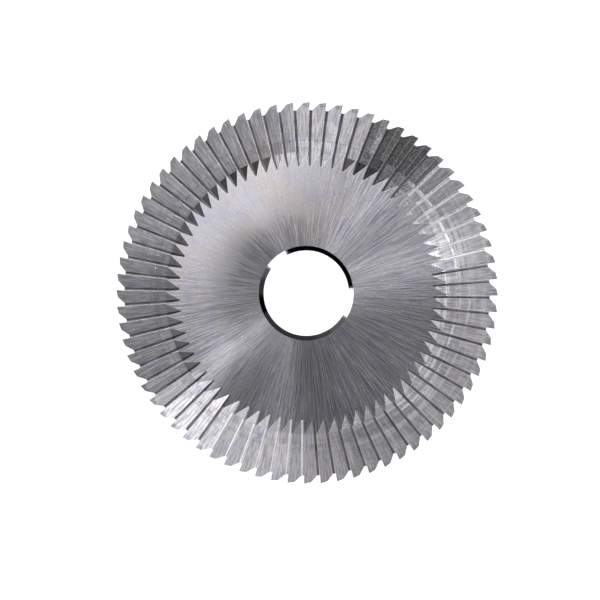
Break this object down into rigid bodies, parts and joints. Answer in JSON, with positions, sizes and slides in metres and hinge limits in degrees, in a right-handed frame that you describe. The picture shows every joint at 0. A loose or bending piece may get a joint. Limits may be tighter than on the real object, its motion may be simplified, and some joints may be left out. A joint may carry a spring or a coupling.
{
  "type": "angle milling cutter",
  "caption": "Thin disc cutter of high-speed steel with fine straight teeth on two conical flanks that meet in a sharp rim, ground flat faces and a plain chamfered arbor bore.",
  "frame": {"origin": "centre of the back face, on the axis of the bore, with the cutter lying flat", "axes": "+Z along the bore axis, out of the front face, from which the teeth point clockwise; +X and +Y lie in the back face"},
  "size_m": [0.0572, 0.0572, 0.0063],
  "materials": {
    "tool_steel": "ground high-speed steel, bare, with fine radial grinding lines on the flat faces"
  },
  "bodies": {
    "root": {"cutter": "tool_steel"}
  },
  "joints": []
}
